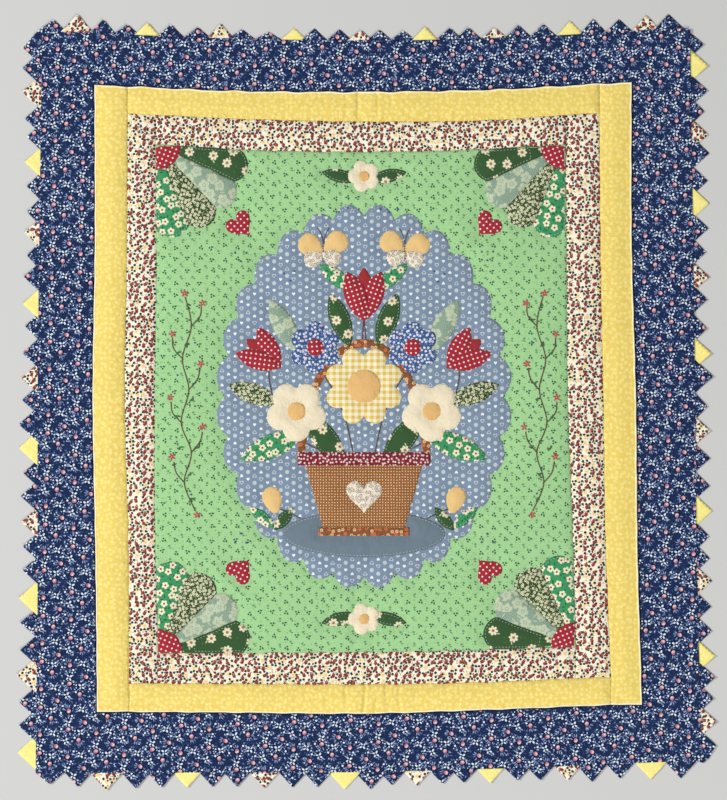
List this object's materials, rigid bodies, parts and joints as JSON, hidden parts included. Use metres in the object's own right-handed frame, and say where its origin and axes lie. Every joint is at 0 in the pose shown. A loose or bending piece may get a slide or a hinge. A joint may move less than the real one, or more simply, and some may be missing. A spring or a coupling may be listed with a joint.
{
  "type": "pictorial quilt",
  "caption": "Quilted cotton hanging lying flat: appliqué centre panel, flowered and yellow pieced borders, a flat navy calico border and prairie points all round.",
  "frame": {"origin": "on the flat underside, below the middle of the centre panel", "axes": "+Z out of the quilt's face, +Y towards its top edge, +X to the right seen from the face"},
  "size_m": [1.1189, 1.242, 0.0076],
  "materials": {
    "panel_cloth": "printed cotton calico, matt, quilted over a soft filling",
    "flowered_cloth": "cream cotton lawn with a small red, green and peach flower print, matt",
    "yellow_cloth": "yellow cotton with a pale tone-on-tone dot print, matt",
    "navy_cloth": "navy cotton calico with small coral, white and light blue flowers, matt"
  },
  "bodies": {
    "root": {"centre_panel": "panel_cloth", "ditsy_strip_bottom": "flowered_cloth", "ditsy_strip_left": "flowered_cloth", "ditsy_strip_right": "flowered_cloth", "ditsy_strip_top": "flowered_cloth", "navy_strip_bottom": "navy_cloth", "navy_strip_left": "navy_cloth", "navy_strip_right": "navy_cloth", "navy_strip_top": "navy_cloth", "point_bottom_03_flowered": "flowered_cloth", "point_bottom_06_yellow": "yellow_cloth", "point_bottom_09_flowered": "flowered_cloth", "point_bottom_12_yellow": "yellow_cloth", "point_bottom_15_flowered": "flowered_cloth", "point_bottom_18_yellow": "yellow_cloth", "point_bottom_21_flowered": "flowered_cloth", "point_bottom_24_yellow": "yellow_cloth", "point_left_03_flowered": "flowered_cloth", "point_left_06_yellow": "yellow_cloth", "point_left_09_flowered": "flowered_cloth", "point_left_12_yellow": "yellow_cloth", "point_left_15_flowered": "flowered_cloth", "point_left_18_yellow": "yellow_cloth", "point_left_21_flowered": "flowered_cloth", "point_left_24_yellow": "yellow_cloth", "point_left_27_flowered": "flowered_cloth", "point_left_30_yellow": "yellow_cloth", "point_right_02_yellow": "yellow_cloth", "point_right_05_flowered": "flowered_cloth", "point_right_08_yellow": "yellow_cloth", "point_right_11_flowered": "flowered_cloth", "point_right_14_yellow": "yellow_cloth", "point_right_17_flowered": "flowered_cloth", "point_right_20_yellow": "yellow_cloth", "point_right_23_flowered": "flowered_cloth", "point_right_26_yellow": "yellow_cloth", "point_right_29_flowered": "flowered_cloth", "point_top_02_flowered": "flowered_cloth", "point_top_05_yellow": "yellow_cloth", "point_top_08_flowered": "flowered_cloth", "point_top_11_yellow": "yellow_cloth", "point_top_14_flowered": "flowered_cloth", "point_top_17_yellow": "yellow_cloth", "point_top_20_flowered": "flowered_cloth", "point_top_23_yellow": "yellow_cloth", "point_top_26_flowered": "flowered_cloth", "points_bottom": "navy_cloth", "points_left": "navy_cloth", "points_right": "navy_cloth", "points_top": "navy_cloth", "yellow_strip_bottom": "yellow_cloth", "yellow_strip_left": "yellow_cloth", "yellow_strip_right": "yellow_cloth", "yellow_strip_top": "yellow_cloth"}
  },
  "joints": []
}
